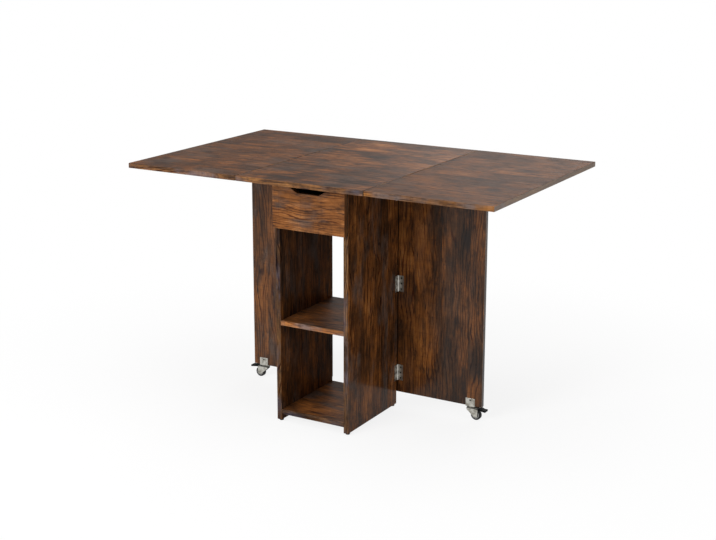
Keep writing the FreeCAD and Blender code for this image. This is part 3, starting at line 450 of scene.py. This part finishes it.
def plated_metal(name, colour, dull_colour, roughness, darkened_band=None):
    """Plated steel, cloudy and marked, bright where it is rubbed, and darker between two heights."""
    tree = Tree(bpy.data.materials.new(name))
    spot = tree.place()
    cloud = tree.noise(spot, PLATING_CLOUDS)
    marks = tree.noise(spot, DRAWING_MARKS)
    tint = tree.blend(tree.ramp(cloud, *CLOUD_BAND), colour, dull_colour)
    tint = tree.blend(tree.ramp(marks, *MARK_BAND), tint, dull_colour)
    tint = tree.blend(tree.math("MULTIPLY", tree.rounding(), RUBBED_SHARE), tint, colour)
    if darkened_band:
        height, (foot, head) = tree.split(spot)[Z], darkened_band
        race_darkening = tree.math("MULTIPLY", tree.ramp(height, foot, foot + RACE_DARK_FADE),
                           tree.ramp(height, head - RACE_DARK_FADE, head, 1.0, 0.0))
        tint = tree.blend(tree.math("MULTIPLY", race_darkening, RACE_DARK_DENSITY), tint, RACE_DARK)
    gloss = tree.ramp(tree.weighted((cloud, CLOUD_GLOSS_SHARE), (marks, MARK_GLOSS_SHARE)),
                      *PLATING_GLOSS_BAND, *roughness)
    return tree.finish(Base_Color=tint, Metallic=1.0, Roughness=gloss,
                       Normal=tree.bump(marks, METAL_RELIEF))


def galvanised_metal(name, colour, dull_colour):
    """Sheet steel with the crystal spangle of hot zinc."""
    tree = Tree(bpy.data.materials.new(name))
    spot = tree.place()
    spangle = tree.node("ShaderNodeTexVoronoi", {"Vector": spot, "Scale": SPANGLE_REPEATS})
    crystal = tree.split(spangle.outputs["Color"])[X]
    marks = tree.noise(spot, ROLLING_MARKS)
    tint = tree.blend(tree.ramp(crystal, *SPANGLE_BAND), colour, dull_colour)
    gloss = tree.ramp(tree.weighted((crystal, SPANGLE_GLOSS_SHARE), (marks, ROLLING_GLOSS_SHARE)),
                      *SHEET_GLOSS)
    return tree.finish(Base_Color=tint, Metallic=1.0, Roughness=gloss,
                       Normal=tree.bump(marks, METAL_RELIEF))


def moulded_plastic(name, colour, worn_colour, roughness, refraction):
    """Moulded plastic or rubber with a fine spark texture, scuffs and dust."""
    tree = Tree(bpy.data.materials.new(name))
    spot = tree.place()
    scuff = tree.noise(spot, SCUFFS)
    return tree.finish(Base_Color=tree.blend(tree.ramp(scuff, *SCUFF_BAND), colour, worn_colour),
                       Roughness=tree.ramp(scuff, *SCUFF_GLOSS_BAND, *roughness), IOR=refraction,
                       Normal=tree.bump(tree.noise(spot, SPARK), PLASTIC_RELIEF))


def dowel_wood(name, colour, fleck_colour):
    """Pale beech with short dark flecks."""
    tree = Tree(bpy.data.materials.new(name))
    fleck = tree.noise(tree.place(), FLECKS)
    return tree.finish(Base_Color=tree.blend(tree.ramp(fleck, *FLECK_BAND), colour, fleck_colour),
                       Roughness=tree.ramp(fleck, *FLECK_GLOSS), Normal=tree.bump(fleck, DOWEL_RELIEF))


# Heights of the castors' bearing race, between which the metal is darker, and the finish of each material
# slot
CASTOR_RACE = (0.0345, 0.0414)
FINISHES = {
    "hinge_metal": plated_metal("nickel_plate", paint(192, 189, 182), paint(126, 122, 116),
                                roughness=(0.28, 0.46)),
    "screw_metal": plated_metal("screw_zinc", paint(78, 76, 72), paint(40, 39, 37), roughness=(0.34, 0.55)),
    "castor_metal": plated_metal("castor_zinc", paint(190, 188, 180), paint(136, 133, 124),
                                 roughness=(0.26, 0.46), darkened_band=CASTOR_RACE),
    "cam_metal": plated_metal("die_cast_zinc", paint(158, 158, 156), paint(112, 112, 110),
                              roughness=(0.4, 0.6)),
    "runner_metal": galvanised_metal("galvanised_steel", paint(196, 199, 202), paint(140, 144, 148)),
    "castor_hub": moulded_plastic("hub_plastic", paint(128, 128, 126), paint(96, 95, 92),
                                  roughness=(0.38, 0.55), refraction=1.45),
    "castor_tyre": moulded_plastic("tyre_rubber", paint(20, 20, 21), paint(48, 46, 44),
                                   roughness=(0.55, 0.8), refraction=1.3),
    "brake_plastic": moulded_plastic("pedal_plastic", paint(7, 7, 8), paint(20, 19, 19),
                                     roughness=(0.55, 0.75), refraction=1.15),
    "glide_plastic": moulded_plastic("glide_plastic", paint(20, 19, 18), paint(48, 46, 44),
                                     roughness=(0.5, 0.7), refraction=1.3),
    "dowel_wood": dowel_wood("beech", paint(205, 170, 126), paint(158, 116, 76)),
}


def dress(node, material):
    for slot in frame["nodes"][node].material_slots:
        slot.material = material


def add_camera():
    data = bpy.data.cameras.new("photo_camera")
    data.sensor_width = SENSOR_WIDTH
    data.lens = FOCAL_PIXELS / IMAGE_WIDTH * SENSOR_WIDTH
    data.shift_x, data.shift_y = CAMERA_SHIFT
    camera = bpy.data.objects.new("photo_camera", data)
    camera.location = CAMERA_AT
    camera.rotation_euler = (math.radians(LEVEL_TILT - CAMERA_PITCH), 0.0, math.radians(CAMERA_YAW))
    bpy.context.scene.collection.objects.link(camera)
    bpy.context.scene.camera = camera


def add_lamp(name, at, width, power):
    data = bpy.data.lights.new(name, "AREA")
    data.shape = "DISK"
    data.size = width
    data.energy = power
    lamp = bpy.data.objects.new(name, data)
    lamp.location = at
    lamp.rotation_euler = (Vector(TABLE_MIDDLE) - Vector(at)).to_track_quat("-Z", "Y").to_euler()
    bpy.context.scene.collection.objects.link(lamp)


def add_floor():
    """A pale floor, whitened for the camera, that keeps the table's shadow and is clear from below."""
    mesh = bpy.data.meshes.new("floor")
    corners = [(-FLOOR_HALF, -FLOOR_HALF, 0.0), (FLOOR_HALF, -FLOOR_HALF, 0.0),
               (FLOOR_HALF, FLOOR_HALF, 0.0), (-FLOOR_HALF, FLOOR_HALF, 0.0)]
    mesh.from_pydata(corners, [], [(0, 1, 2, 3)])
    floor = bpy.data.objects.new("floor", mesh)
    bpy.context.scene.collection.objects.link(floor)
    tree = Tree(bpy.data.materials.new("floor"))
    tree.nodes.remove(tree.nodes["Principled BSDF"])
    matt = tree.node("ShaderNodeBsdfDiffuse", {"Color": FLOOR_GREY})
    white = tree.node("ShaderNodeEmission", {"Color": WHITE, "Strength": 1.0})
    reach = tree.node("ShaderNodeVectorMath", {0: tree.place()}, operation="LENGTH")
    whitening = tree.ramp(reach.outputs["Value"], *FLOOR_SHADOW_REACH, FLOOR_WHITENING, 1.0)
    lit = tree.node("ShaderNodeMixShader", {
        0: tree.math("MULTIPLY", tree.seen(), whitening), 1: matt.outputs[0], 2: white.outputs[0]})
    clear = tree.node("ShaderNodeBsdfTransparent")
    below = tree.node("ShaderNodeNewGeometry").outputs["Backfacing"]
    shown = tree.node("ShaderNodeMixShader", {0: below, 1: lit.outputs[0], 2: clear.outputs[0]})
    tree.feed(tree.nodes["Material Output"].inputs["Surface"], shown.outputs[0])
    mesh.materials.append(tree.owner)


def add_world():
    """White where it is seen or mirrored, and a plain fill elsewhere."""
    tree = Tree(bpy.data.worlds.new("studio"))
    background = tree.nodes["Background"].inputs
    tree.feed(background["Color"], WHITE)
    tree.feed(background["Strength"], tree.either(tree.seen(), WORLD_FILL, 1.0))
    bpy.context.scene.world = tree.owner


for entry in frame["record"]["subparts"]:
    node = entry["node"]
    if node in BOARDS:
        dress(node, rustic_board(f"rustic_{node}", **BOARDS[node]))
    else:
        dress(node, FINISHES[entry["material_slot"]])
add_camera()
for lamp_name, lamp in LAMPS.items():
    add_lamp(lamp_name, *lamp)
add_floor()
add_world()
bpy.context.scene.view_settings.view_transform = "Standard"
